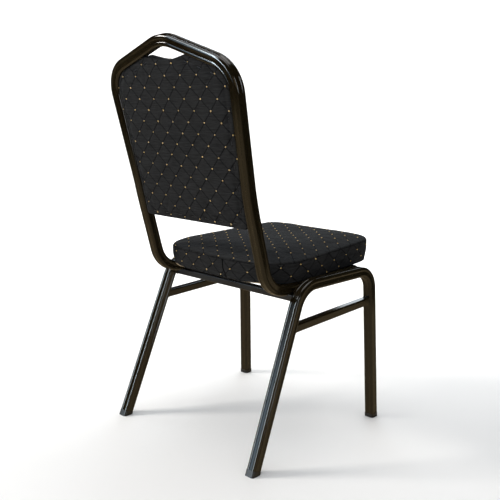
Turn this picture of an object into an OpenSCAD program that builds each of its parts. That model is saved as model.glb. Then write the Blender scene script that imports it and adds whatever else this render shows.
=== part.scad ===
// Stacking banquet chair: a fluted steel tube frame with an upholstered crown-shaped back and a boxed
// seat cushion. Millimetres, +Z up, the front of the chair faces -Y, and the origin is on the floor
// under the middle of the whole chair.

/* [Tube] */
// Width of the fluted frame tube across its lobes
tube_d = 25; // [22:0.5:28]
// Depth of the flute between two lobes
flute = 1; // [0.6:0.1:1.6]
// Wall thickness of every tube
wall = 1.2; // [1:0.1:1.6]
// Width of the square tube of the crossbars under the seat
bar_d = 17; // [15:0.5:20]
// Width of the square tube of the stretchers
stretcher_d = 19; // [15:0.5:21]

/* [Side frames] */
// Half of the distance between the left and the right feet, at the floor
foot_x = 222; // [215:1:230]
// Half of the distance between the front and the rear feet, at the floor
foot_y = 222.5; // [215:0.5:230]
// Height of the middle of a side frame's top rail
side_rail_z = 386.5; // [380:0.5:392]
// Outward splay of the side frames
splay = 1.6; // [0:0.1:3]
// Angle of the rear legs from upright
rear_leg_tilt = 22; // [18:0.5:25]
// Angle of the front legs from upright
front_leg_tilt = 3.8; // [2:0.1:6]
// Radius of the bend over the rear legs
rear_bend_r = 67; // [55:1:80]
// Radius of the bend over the front legs
front_bend_r = 48; // [40:1:60]
// Height of the stretchers in the middle of the side frame
stretcher_z = 301; // [280:1:320]
// Upward slope of the stretchers towards the front
stretcher_slope = 2.5; // [0:0.5:4]

/* [Back] */
// Half of the distance between the two uprights of the back, below the kink
back_x = 178; // [172:1:182]
// Half of the distance between the uprights where their line meets the crown's slope
shoulder_x = 193; // [186:1:200]
// Height of that shoulder corner
shoulder_z = 847; // [820:1:870]
// Lean of the lower part of the back from upright
lower_lean = 16.3; // [14:0.1:18]
// Lean of the upper part of the back from upright
upper_lean = 14; // [12:0.1:16]
// Radius of the bend between the seat rail and the back
knee_r = 70; // [60:1:80]
// Radius of the shoulder bends
shoulder_r = 67; // [55:1:80]
// Radius of the bend at the top of the crown
crown_r = 95; // [80:1:110]
// Slope of the two sides of the crown
crown_slope = 19; // [15:0.5:22]
// Height of the lower edge of the back panel, up the back from the kink
panel_low = -82; // [-90:1:-60]
// Half of the width of the hand hole under the crown
hole_half_w = 64; // [50:1:75]
// Depth of the dip in the panel's upper edge
hole_dip = 10.5; // [6:0.5:14]

/* [Seat] */
// Depth of the seat from its rear edge to its front edge
seat_depth = 413; // [390:1:425]
// Half of the seat's width in the middle of its depth
seat_half_w = 191; // [180:1:192]
// Height of the underside of the seat at its rear edge
seat_low_z = 388.5; // [384:0.5:392]
// Upward pitch of the seat and its rails towards the front
seat_pitch = 1.5; // [0:0.1:3]
// Height of the seat's stitched side band
band_h = 50; // [40:1:60]
// Thickness of the plywood board in the seat
seat_board_t = 12; // [9:1:15]

/* [Hidden] */
$fn = 64;

paint = [0.07, 0.07, 0.08];
plastic = [0.05, 0.05, 0.05];
fabric = [0.16, 0.16, 0.17];
ply = [0.78, 0.66, 0.47];
foam_colour = [0.86, 0.83, 0.70];
zinc = [0.72, 0.73, 0.75];
big = 600;

// The frame's own middle sits this far ahead of the middle of the whole chair.
frame_ahead = 9.6;

// Fluted tube
lobe_r = 6.2;
lobe_c = tube_d / 2 - lobe_r;
lap = 1;                // how far each straight run reaches into the bends next to it
lap_wall = 0.02;         // how much thicker its wall is on each side
foot_cap = 10;          // how far the tube ends stop short of the floor, along the leg

// Seat frame: y = 0 at the seat's rear edge, z = 0 at the underside of the seat board
seat_rear_y = 137;
dust_t = 0.6;
rail_axis_z = -dust_t - tube_d / 2;
rail_bottom_z = -dust_t - tube_d;
rail_front_y = -311.5;  // front end of each seat rail
plug_t = 2.5;           // flange of the plug in that end
knee_y = 1.4;           // where the rail's line meets the back's line
rear_bar = [-75, rail_bottom_z - bar_d / 2];    // distance back and height of the crossbars' axes
front_bar = [rail_front_y - plug_t - bar_d / 2, rail_bottom_z + bar_d / 2];
bolt_ys = [-110, -215];
nut_d = 14;             // flange of each tee nut
seat_rear_squareness = 4;    // exponent of the rear half of the seat's rounded outline
seat_front_squareness = 6.5; // the same for its front half, which has tighter corners
seat_taper = 0.07;      // how much narrower each side gets per millimetre towards the front
foam_h = band_h - seat_board_t;
cloth_t = 1.2;

// Side frame: the tube's centre line in the tilted plane of the frame
rail_h = side_rail_z / cos(splay);
rear_corner_y = foot_y - rail_h * tan(rear_leg_tilt);
front_corner_y = -foot_y + rail_h * tan(front_leg_tilt);

// Back: heights on the upper part are measured up the slope from the kink at kink_z
kink_z = 600;
gentle_z = 560;         // where the lean eases from the lower to the upper angle
gentle_r = 1000;
kink_r = 400;
knee_corner = [seat_rear_y + knee_y * cos(seat_pitch) + rail_axis_z * sin(seat_pitch),
               seat_low_z - knee_y * sin(seat_pitch) + rail_axis_z * cos(seat_pitch)];
gentle_y = knee_corner[0] + (gentle_z - knee_corner[1]) * tan(lower_lean);
kink_y = gentle_y + (kink_z - gentle_z) * tan(upper_lean);
shoulder_v = (shoulder_z - kink_z) / cos(upper_lean);
kink_a = atan((shoulder_x - back_x) / shoulder_v);
knee_turn = 90 - lower_lean + seat_pitch;
shoulder_turn = 90 + kink_a - crown_slope;

// Back panel: distances behind (+) and ahead of (-) the plane of the tube's centre line
back_board_y = 4;
back_board_t = 9;
rear_board_t = 3;
lug_t = 2;
back_foam_t = 23;
lug_vs = [-45, 165];
lug_w = 22;
panel_gap = 0.5;
staple = [11, 0.9, 0.6];

function tangent(r, a) = r * tan(a / 2);
function arc(cx, cy, r, a0, a1, n) =
    [for (i = [0:n]) let (a = a0 + (a1 - a0) * i / n) [cx + r * cos(a), cy + r * sin(a)]];
function mirrored(half) = concat(half, [for (i = [len(half) - 1:-1:0]) [-half[i][0], half[i][1]]]);

// ---- Profiles -------------------------------------------------------------------------------

// Four lobes joined by a cross, which leaves a shallow flute along the middle of each face.
module fluted(shrink = 0) {
    for (sx = [-1, 1], sy = [-1, 1])
        translate([sx * lobe_c, sy * lobe_c]) circle(lobe_r - shrink);
    core = tube_d - 2 * flute - 2 * shrink;
    square([core, 2 * lobe_c], center = true);
    square([2 * lobe_c, core], center = true);
}

module fluted_tube(thicker = 0) {
    difference() {
        fluted(-thicker);
        fluted(wall + thicker);
    }
}

module rounded_square(d, r) {
    square([d, d - 2 * r], center = true);
    square([d - 2 * r, d], center = true);
    for (sx = [-1, 1], sy = [-1, 1])
        translate([sx * (d / 2 - r), sy * (d / 2 - r)]) circle(r);
}

module bar_tube(d) {
    difference() {
        rounded_square(d, 3.5);
        rounded_square(d - 2 * wall, 2.3);
    }
}

function shift(v) = [[1, 0, 0, v[0]], [0, 1, 0, v[1]], [0, 0, 1, v[2]], [0, 0, 0, 1]];
function turn_y(a) = [[cos(a), 0, sin(a), 0], [0, 1, 0, 0], [-sin(a), 0, cos(a), 0], [0, 0, 0, 1]];
function turn_z(a) = [[cos(a), -sin(a), 0, 0], [sin(a), cos(a), 0, 0], [0, 0, 1, 0], [0, 0, 0, 1]];

// Where a step of a path ends, as seen from where it starts.
function step_end(step) =
    step[0] == "run"
        ? shift([0, 0, step[1]])
        : turn_z(step[3]) * shift([step[1] * (1 - cos(step[2])), 0, step[1] * sin(step[2])])
            * turn_y(step[2]) * turn_z(-step[3]);

module tube_profile(bore, thicker = 0) {
    if (bore)
        fluted_tube(thicker);
    else
        fluted(-thicker);
}

// Runs the fluted tube along a path that starts at the origin up +Z. A step is ["run", length] or
// ["bend", radius, angle, heading], where heading is the direction of the bend in the XY plane.
// Each run's wall is a hair thicker than a bend's and laps into it, so the whole tube is one solid.
module along(path, bore = true) {
    last = len(path) - 1;
    starts = [for (i = 0, m = shift([0, 0, 0]); i <= last; m = m * step_end(path[i]), i = i + 1) m];
    for (i = [0:last]) multmatrix(starts[i]) {
        step = path[i];
        if (step[0] == "run") {
            before = i == 0 ? 0 : lap;
            after = i == last ? 0 : lap;
            translate([0, 0, -before]) linear_extrude(step[1] + before + after)
                tube_profile(bore, lap_wall);
        } else {
            rotate(step[3]) translate([step[1], 0, 0]) rotate([90, 0, 180])
                rotate_extrude(angle = step[2]) translate([step[1], 0]) tube_profile(bore);
        }
    }
}

// ---- Frames of reference --------------------------------------------------------------------

module placed() {
    translate([0, -frame_ahead, 0]) children();
}

module on_seat() {
    placed() translate([0, seat_rear_y, seat_low_z]) rotate([-seat_pitch, 0, 0]) children();
}

module on_back() {
    placed() translate([0, kink_y, kink_z]) rotate([-upper_lean, 0, 0]) children();
}

// A slab of the child outline in the plane of the back, from y = rear forward by t.
module back_slab(rear, t) {
    on_back() translate([0, rear, 0]) rotate([90, 0, 0]) linear_extrude(t) children();
}

// The tilted plane of one side frame: side is 1 on the left and -1 on the right.
module on_side(side) {
    placed() translate([side * foot_x, 0, 0]) rotate([0, -side * splay, 0]) children();
}

module on_rear_leg(side) {
    on_side(side) translate([0, foot_y, 0]) rotate([rear_leg_tilt, 0, 0]) children();
}

module on_front_leg(side) {
    on_side(side) translate([0, -foot_y, 0]) rotate([-front_leg_tilt, 0, 0]) children();
}

// ---- Frame ----------------------------------------------------------------------------------

// One continuous tube: left seat rail, left upright, crown, right upright and right seat rail.
module back_tube() {
    knee_t = tangent(knee_r, knee_turn);
    gentle_t = tangent(gentle_r, lower_lean - upper_lean);
    kink_t = tangent(kink_r, kink_a);
    shoulder_t = tangent(shoulder_r, shoulder_turn);
    crown_t = tangent(crown_r, 2 * crown_slope);
    left = [
        ["run", knee_y - rail_front_y - knee_t],
        ["bend", knee_r, knee_turn, -90],
        ["run", (gentle_z - knee_corner[1]) / cos(lower_lean) - knee_t - gentle_t],
        ["bend", gentle_r, lower_lean - upper_lean, -90],
        ["run", (kink_z - gentle_z) / cos(upper_lean) - gentle_t - kink_t],
        ["bend", kink_r, kink_a, 0],
        ["run", shoulder_v / cos(kink_a) - kink_t - shoulder_t],
        ["bend", shoulder_r, shoulder_turn, 180],
        ["run", shoulder_x / cos(crown_slope) - shoulder_t - crown_t]
    ];
    right = [for (i = [len(left) - 1:-1:0]) left[i]];
    color(paint) difference() {
        on_seat() translate([back_x, rail_front_y, rail_axis_z]) rotate([-90, 0, 0])
            along(concat(left, [["bend", crown_r, 2 * crown_slope, 180]], right));
        at_bolts() translate([0, 0, rail_bottom_z - 1]) cylinder(d = 6.6, h = tube_d + 2);
    }
}

module side_frame(side, bore = true) {
    rear_t = tangent(rear_bend_r, 90 - rear_leg_tilt);
    front_t = tangent(front_bend_r, 90 - front_leg_tilt);
    path = [
        ["run", rail_h / cos(rear_leg_tilt) - rear_t - foot_cap],
        ["bend", rear_bend_r, 90 - rear_leg_tilt, -90],
        ["run", rear_corner_y - front_corner_y - rear_t - front_t],
        ["bend", front_bend_r, 90 - front_leg_tilt, -90],
        ["run", rail_h / cos(front_leg_tilt) - front_t - foot_cap]
    ];
    color(paint) on_rear_leg(side) translate([0, 0, foot_cap]) along(path, bore);
}

// Smaller tube between the two legs of a side frame, with its ends coped to the legs.
module stretcher(side) {
    color(paint) difference() {
        on_side(side) translate([0, 0, stretcher_z]) rotate([90 - stretcher_slope, 0, 0]) rotate([0, 180, 0])
            translate([0, 0, -foot_y]) linear_extrude(2 * foot_y) bar_tube(stretcher_d);
        on_rear_leg(side) linear_extrude(rail_h) fluted();
        on_front_leg(side) linear_extrude(rail_h) fluted();
        on_rear_leg(side) translate([-big / 2, 0, 0]) cube([big, big, big]);
        on_front_leg(side) translate([-big / 2, -big, 0]) cube([big, big, big]);
    }
}

// Straight tube from one side frame to the other, coped to them. The rear one runs under the seat rails,
// and the front one closes their front ends.
module crossbar(bar) {
    half = foot_x - tube_d / 2;
    color(paint) difference() {
        on_seat() translate([-half, bar[0], bar[1]]) rotate([0, 90, 0])
            linear_extrude(2 * half) bar_tube(bar_d);
        for (side = [-1, 1]) {
            side_frame(side, false);
            on_side(side) translate([side > 0 ? flute - tube_d / 2 : tube_d / 2 - flute - big, -big / 2, 0])
                cube([big, big, big]);
        }
    }
}

module rail_plugs() {
    color(plastic) on_seat() for (side = [-1, 1])
        translate([side * back_x, rail_front_y, rail_axis_z]) rotate([90, 0, 0]) {
            linear_extrude(plug_t) rounded_square(tube_d - 0.6, 5.5);
            translate([0, 0, -14]) linear_extrude(14) rounded_square(tube_d - 2 * flute - 2 * wall - 0.4, 4);
        }
}

// Plastic glide: a collar under the tube's end, cut flat at the floor, and a plug inside the tube.
module foot_cap_body() {
    intersection() {
        translate([0, 0, -20]) linear_extrude(20 + foot_cap) rounded_square(tube_d + 0.6, 5.5);
        children();
    }
    translate([0, 0, foot_cap]) linear_extrude(22)
        rounded_square(tube_d - 2 * flute - 2 * wall - 0.4, 4);
}

module rear_foot(side) {
    color(plastic) on_rear_leg(side) foot_cap_body()
        rotate([-rear_leg_tilt, 0, 0]) rotate([0, side * splay, 0])
            translate([-big / 2, -big / 2, 0]) cube([big, big, big]);
}

module front_foot(side) {
    color(plastic) on_front_leg(side) foot_cap_body()
        rotate([front_leg_tilt, 0, 0]) rotate([0, side * splay, 0])
            translate([-big / 2, -big / 2, 0]) cube([big, big, big]);
}

// ---- Seat -----------------------------------------------------------------------------------

// Rounded outline of the seat, pulled in by inset all round and tapered towards the front.
module seat_outline(inset) {
    half_d = seat_depth / 2;
    function power(a) = 2 / (a < 180 ? seat_rear_squareness : seat_front_squareness);
    function curve(c, a) = sign(c) * pow(abs(c), power(a));
    points = [for (a = [0:4:356])
        let (y = (half_d - inset) * curve(sin(a), a), w = seat_half_w - inset + seat_taper * y)
        [w * curve(cos(a), a), y - half_d]];
    polygon(points);
}

module at_bolts() {
    on_seat() for (side = [-1, 1], y = bolt_ys) translate([side * back_x, y, 0]) children();
}

module seat_board() {
    color(ply) difference() {
        on_seat() linear_extrude(seat_board_t) seat_outline(3 + cloth_t);
        at_bolts() translate([0, 0, -1]) cylinder(d = 8, h = seat_board_t + 2);
        seat_staple_group(0.05);
    }
}

module seat_foam() {
    color(foam_colour) difference() {
        on_seat() translate([0, 0, seat_board_t]) linear_extrude(foam_h) seat_outline(3 + cloth_t + 0.3);
        at_bolts() translate([0, 0, seat_board_t - 1]) cylinder(d = nut_d + 1, h = 2.4);
    }
}

module seat_band() {
    color(fabric) on_seat() translate([0, 0, 1.5]) linear_extrude(band_h - 1.5) difference() {
        seat_outline(3);
        seat_outline(3 + cloth_t);
    }
}

module seat_top_cover() {
    color(fabric) on_seat() translate([0, 0, band_h]) linear_extrude(cloth_t) seat_outline(1.5);
}

module seat_dust_cover() {
    color(plastic) difference() {
        on_seat() translate([0, 0, -dust_t]) linear_extrude(dust_t) seat_outline(12);
        at_bolts() translate([0, 0, -2]) cylinder(d = 8, h = 4);
        seat_staple_group(0.05);
    }
}

// One wire staple with its crown on z = 0 and its legs up +Z.
module staple_wire(leg, grow = 0) {
    translate([-staple[0] / 2 - grow, -staple[1] / 2 - grow, -staple[2] - grow])
        cube([staple[0] + 2 * grow, staple[1] + 2 * grow, staple[2] + 2 * grow]);
    for (s = [-1, 1])
        translate([s * (staple[0] - staple[2]) / 2 - staple[2] / 2 - grow, -staple[1] / 2 - grow, 0])
            cube([staple[2] + 2 * grow, staple[1] + 2 * grow, leg + grow]);
}

// Staples that hold the covers round the edge of the seat board's underside.
module seat_staple_group(grow = 0) {
    half_d = seat_depth / 2;
    on_seat() {
        for (x = [-135:54:135], end = [-1, 1])
            translate([x, -half_d + end * (half_d - 28), -dust_t]) staple_wire(8, grow);
        for (y = [-340:65:-80], side = [-1, 1])
            translate([side * (seat_half_w - 32), y, -dust_t]) rotate(90) staple_wire(8, grow);
    }
}

module seat_staples() {
    color(zinc) seat_staple_group();
}

module seat_tee_nuts() {
    color(zinc) at_bolts() difference() {
        union() {
            translate([0, 0, seat_board_t]) cylinder(d = nut_d, h = 1.2);
            translate([0, 0, seat_board_t - 9]) cylinder(d = 7.8, h = 9.5);
        }
        translate([0, 0, seat_board_t - 10]) cylinder(d = 6.2, h = 12);
    }
}

module seat_washers() {
    color(zinc) at_bolts() translate([0, 0, rail_bottom_z - 1.5]) difference() {
        cylinder(d = 18, h = 1.5);
        translate([0, 0, -1]) cylinder(d = 6.6, h = 4);
    }
}

module seat_bolts() {
    color(zinc) at_bolts() translate([0, 0, rail_bottom_z - 1.5]) difference() {
        union() {
            translate([0, 0, -3.5]) cylinder(d = 11, h = 3.5);
            cylinder(d = 6, h = 1.5 - rail_bottom_z + seat_board_t);
        }
        translate([0, 0, -3.6]) linear_extrude(2.2) circle(d = 4.6, $fn = 6);
    }
}

// ---- Back -----------------------------------------------------------------------------------

// Outline of the upholstered panel inside the tube: a crowned top with a dip that leaves the hand
// hole, and a lower edge with small round corners. The plane's origin is at the kink.
module panel_outline(inset) {
    side_x = back_x - tube_d / 2 - inset;
    corner = 10;
    start_v = shoulder_v - tangent(shoulder_r, shoulder_turn) * cos(kink_a);
    centre_x = back_x + start_v * tan(kink_a) - shoulder_r * cos(kink_a);
    centre_v = start_v + shoulder_r * sin(kink_a);
    inner_r = shoulder_r - tube_d / 2 - inset;
    hole_v = shoulder_v + (shoulder_x - hole_half_w) * tan(crown_slope)
        - (tube_d / 2 + inset) / cos(crown_slope);
    soft = 20;
    k = hole_dip / (norm([hole_half_w, soft]) - soft);
    half = concat(
        arc(side_x - corner, panel_low + inset + corner, corner, -90, 0, 5),
        [[side_x, 0]],
        arc(centre_x, centre_v, inner_r, -kink_a, 90 - crown_slope, 14),
        [for (i = [8:-1:1]) let (x = hole_half_w * i / 8)
            [x, hole_v - hole_dip + k * (norm([x, soft]) - soft)]]
    );
    polygon(mirrored(half));
}

function lug_x(v) = back_x + max(0, v) * tan(kink_a) - tube_d / 2 - 0.1;

module at_lugs() {
    on_back() for (side = [-1, 1], v = lug_vs)
        translate([side * lug_x(v), back_board_y - back_board_t, v])
            rotate([90, 0, 0]) scale([side, 1, 1]) children();
}

// Steel tabs welded inside the uprights: the back board is screwed to them.
module back_lugs() {
    color(paint) at_lugs() difference() {
        translate([-lug_w, -12, 0]) cube([lug_w, 24, lug_t]);
        translate([-lug_w / 2 - 2, 0, -1]) cylinder(d = 4.6, h = lug_t + 2);
    }
}

module back_screws() {
    color(zinc) at_lugs() translate([-lug_w / 2 - 2, 0, 0]) {
        translate([0, 0, lug_t]) cylinder(d = 8, h = 2);
        translate([0, 0, -7]) cylinder(d = 4, h = 7 + lug_t);
    }
}

module back_board() {
    color(ply) difference() {
        back_slab(back_board_y, back_board_t) panel_outline(panel_gap + cloth_t);
        at_lugs() translate([-lug_w / 2 - 2, 0, -8]) cylinder(d = 4.1, h = 9);
        back_staple_group(0.05);
    }
}

module back_foam() {
    color(foam_colour) difference() {
        back_slab(back_board_y - back_board_t, back_foam_t) panel_outline(panel_gap + cloth_t + 1.2);
        at_lugs() translate([-lug_w - 1, -13, -1]) cube([lug_w + 2, 26, lug_t + 1.3]);
        at_lugs() translate([-lug_w / 2 - 2, 0, 0]) cylinder(d = 9, h = lug_t + 2.5);
    }
}

module back_front_cover() {
    rear = back_board_y - back_board_t;
    color(fabric) difference() {
        back_slab(rear, back_foam_t + cloth_t) panel_outline(panel_gap);
        back_slab(rear + 1, back_foam_t + 1) panel_outline(panel_gap + cloth_t);
        at_lugs() translate([-lug_w, -12.5, -1]) cube([lug_w + 2, 25, lug_t + 1.3]);
    }
}

module back_rear_board() {
    color([0.45, 0.32, 0.20]) difference() {
        back_slab(back_board_y + rear_board_t, rear_board_t) panel_outline(panel_gap + cloth_t);
        back_staple_group(0.05);
    }
}

module back_rear_cover() {
    rear = back_board_y + rear_board_t + cloth_t;
    color(fabric) difference() {
        back_slab(rear, cloth_t) panel_outline(panel_gap);
        back_staple_group(0.05);
    }
}

// Staples through the rear cover and its board, round the edge of the panel.
module back_staple_group(grow = 0) {
    face = back_board_y + rear_board_t + cloth_t;
    in = 12;
    on_back() translate([0, face, 0]) rotate([90, 0, 0]) {
        for (x = [-132:44:132]) translate([x, panel_low + in, 0]) staple_wire(9, grow);
        for (v = [-40:48:190], side = [-1, 1])
            translate([side * (back_x + max(0, v) * tan(kink_a) - tube_d / 2 - in), v, 0])
                rotate(90) staple_wire(9, grow);
        for (x = [66:36:150], side = [-1, 1])
            translate([side * x, shoulder_v + (shoulder_x - x) * tan(crown_slope) - 28, 0])
                rotate(-side * crown_slope) staple_wire(9, grow);
    }
}

module back_staples() {
    color(zinc) back_staple_group();
}

back_tube();
side_frame(1);  // side_frame_left
side_frame(-1);  // side_frame_right
stretcher(1);  // stretcher_left
stretcher(-1);  // stretcher_right
crossbar(rear_bar);  // rear_crossbar
crossbar(front_bar);  // front_crossbar
rail_plugs();
front_foot(1);  // foot_front_left
front_foot(-1);  // foot_front_right
rear_foot(1);  // foot_rear_left
rear_foot(-1);  // foot_rear_right
seat_board();
seat_foam();
seat_band();
seat_top_cover();
seat_dust_cover();
seat_staples();
seat_tee_nuts();
seat_bolts();
seat_washers();
back_lugs();
back_board();
back_screws();
back_foam();
back_front_cover();
back_rear_board();
back_rear_cover();
back_staples();
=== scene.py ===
"""Looks for the stacking chair: materials, upholstery, weld beads, floor, lights and camera.

Lengths are in metres unless a name ends in _mm. The chair's frame has +Z up and its front along -Y.
"""
import math

import bpy
import numpy as np
from mathutils import Matrix, Vector, noise
from mathutils.bvhtree import BVHTree


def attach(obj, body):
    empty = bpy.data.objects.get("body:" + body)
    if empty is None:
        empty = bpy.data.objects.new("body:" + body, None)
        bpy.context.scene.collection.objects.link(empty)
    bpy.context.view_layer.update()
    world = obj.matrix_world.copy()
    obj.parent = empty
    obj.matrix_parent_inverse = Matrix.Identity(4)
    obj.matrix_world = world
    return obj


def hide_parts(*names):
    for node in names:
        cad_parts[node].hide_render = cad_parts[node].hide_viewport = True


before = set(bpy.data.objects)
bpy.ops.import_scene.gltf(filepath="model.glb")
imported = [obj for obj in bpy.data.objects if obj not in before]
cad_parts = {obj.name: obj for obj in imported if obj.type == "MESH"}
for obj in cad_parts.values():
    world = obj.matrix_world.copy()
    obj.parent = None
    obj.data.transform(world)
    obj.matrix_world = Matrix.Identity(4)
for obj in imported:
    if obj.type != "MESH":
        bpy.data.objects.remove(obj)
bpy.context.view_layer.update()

MM = 0.001

# ---- Sizes shared with the CAD, in millimetres ----------------------------------------------
SEAT_PITCH = math.radians(1.5)
BACK_LEAN = math.radians(14.0)
TUBE = 25.0
SEAT = {"depth": 413.0, "half_w": 191.0, "taper": 0.07, "rear": 4.0, "front": 6.5, "band_h": 50.0}
BACK = {"half_w": 178.0, "shoulder_x": 193.0, "shoulder_z": 847.0, "kink_z": 600.0, "low": -82.0,
        "shoulder_r": 67.0, "crown_slope": math.radians(19.0), "hole_half_w": 64.0, "hole_dip": 10.5}

# ---- Small helpers --------------------------------------------------------------------------


def node_points(node):
    """A CAD node's vertices as an array."""
    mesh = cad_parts[node].data
    co = np.empty(len(mesh.vertices) * 3)
    mesh.vertices.foreach_get("co", co)
    return co.reshape(-1, 3)


def tilted_frame(node, angle, rear_mm, low_mm):
    """A frame leaned back by angle, with the node's rear at y = rear_mm and its foot at z = low_mm."""
    turn = Matrix.Rotation(-angle, 4, "X")
    local = node_points(node) @ np.array(turn.to_3x3())
    shift = (0.0, local[:, 1].max() - rear_mm * MM, local[:, 2].min() - low_mm * MM)
    return turn @ Matrix.Translation(shift)


ON_SEAT = tilted_frame("seat_board", SEAT_PITCH, -4.2, 0.0)
ON_BACK = tilted_frame("back_board", BACK_LEAN, 4.0, BACK["low"] + 1.7)


def smooth(x):
    """0 below 0, 1 above 1, and an S-curve between."""
    x = np.clip(x, 0.0, 1.0)
    return x * x * (3.0 - 2.0 * x)


def bump(x, centre, width):
    """A bell curve of height 1."""
    return np.exp(-((np.asarray(x, float) - centre) / width) ** 2)


def ripple(points, scale, seed, octaves=3):
    """Smooth noise at each point, about -1 to 1; scale is the size of its lumps in the points' units."""
    shift = Vector((seed * 7.3, seed * 3.1, seed * 5.7))
    return np.array([noise.fractal(Vector(p) / scale + shift, 0.6, 2.0, octaves) for p in points])


def resample(points, count):
    """count points evenly spaced along a closed outline, starting at its first point."""
    p = np.asarray(points, float)
    closed = np.vstack([p, p[:1]])
    step = np.linalg.norm(np.diff(closed, axis=0), axis=1)
    along = np.concatenate([[0.0], np.cumsum(step)])
    want = np.linspace(0.0, along[-1], count, endpoint=False)
    return np.stack([np.interp(want, along, closed[:, i]) for i in range(2)], 1), along[-1]


def outward(outline):
    """Unit normals of a closed counter-clockwise outline."""
    t = np.roll(outline, -1, 0) - np.roll(outline, 1, 0)
    n = np.stack([t[:, 1], -t[:, 0]], 1)
    return n / np.linalg.norm(n, axis=1, keepdims=True)


def edge_distance(points, outline):
    """Distance from each point to a closed outline."""
    a = outline
    d = np.roll(outline, -1, 0) - a
    best = np.full(len(points), 1e9)
    for i in range(len(a)):
        t = np.clip(((points - a[i]) @ d[i]) / max(d[i] @ d[i], 1e-9), 0, 1)
        best = np.minimum(best, np.linalg.norm(points - a[i] - np.outer(t, d[i]), axis=1))
    return best


def new_object(name, mesh, material):
    """A smooth-shaded piece in the scene, with its material."""
    obj = bpy.data.objects.new(name, mesh)
    bpy.context.scene.collection.objects.link(obj)
    mesh.materials.append(material)
    for poly in mesh.polygons:
        poly.use_smooth = True
    return obj


def ring_mesh(name, rings, to_world, lattice=None, cap_first=False):
    """A surface through closed rings of equal length, in millimetres, with lattice coordinates as its UVs.

    lattice(ring, column, mid_column) gives a corner's UV; mid_column tells which panel its face is in.
    A fan of triangles closes the last ring, and the first one too if cap_first is set.
    """
    count = len(rings[0])
    points = np.concatenate(rings) * MM
    verts = [to_world @ Vector(p) for p in points]
    faces, corners = [], []
    for i in range(len(rings) - 1):
        for k in range(count):
            k1 = (k + 1) % count
            faces.append((i * count + k, i * count + k1, (i + 1) * count + k1, (i + 1) * count + k))
            corners.append(((i, k), (i, k + 1), (i + 1, k + 1), (i + 1, k)))
    for ring in [len(rings) - 1] + [0] * cap_first:
        middle = len(verts)
        verts.append(sum((verts[ring * count + k] for k in range(count)), Vector()) / count)
        for k in range(count):
            edge = (ring * count + k, ring * count + (k + 1) % count, middle)
            known = ((ring, k), (ring, k + 1))
            faces.append(edge if ring else edge[::-1])
            corners.append((*known, None) if ring else (None, *known[::-1]))
    mesh = bpy.data.meshes.new(name)
    mesh.from_pydata(verts, [], faces)
    if lattice:
        uv = mesh.uv_layers.new(name="lattice")
        at = 0
        for face in corners:
            known = [c for c in face if c]
            mid = min(c[1] for c in known) + 0.5
            for corner in face:
                ring, column = corner or (known[0][0], None)
                uv.data[at].uv = lattice(ring, column, mid)
                at += 1
    mesh.validate()
    mesh.update()
    return mesh


def sweep(name, path, radii, sides, closed, material):
    """A thin round strand along a path of points, in metres, with a radius at each point."""
    verts, faces = [], []
    count = len(path)
    for i, p in enumerate(path):
        before = path[i - 1] if closed or i else p
        after = path[(i + 1) % count] if closed or i + 1 < count else p
        ahead = (after - before).normalized()
        out = ahead.orthogonal().normalized()
        other = ahead.cross(out)
        for j in range(sides):
            a = 2 * math.pi * j / sides
            verts.append(p + (out * math.cos(a) + other * math.sin(a)) * radii[i])
    for i in range(count if closed else count - 1):
        i1 = (i + 1) % count
        for j in range(sides):
            j1 = (j + 1) % sides
            faces.append((i * sides + j, i * sides + j1, i1 * sides + j1, i1 * sides + j))
    mesh = bpy.data.meshes.new(name)
    mesh.from_pydata(verts, [], faces)
    mesh.validate()
    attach(new_object(name, mesh, material), "root")


def lattice_uv(u, v, a, b, u0=0.0, v0=0.0, turn=0.0):
    """Lattice coordinates of a point: woven dots sit where both are whole numbers."""
    c, s = math.cos(turn), math.sin(turn)
    du, dv = u - u0, v - v0
    du, dv = c * du + s * dv, -s * du + c * dv
    return (du / a + dv / (2 * b), du / a - dv / (2 * b))


SWELL_VOXEL = 0.006
SWELL_PRESSURE = 4.0
SWELL_FRAMES = 20
PINNED_BELOW_MM = 2.0


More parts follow.
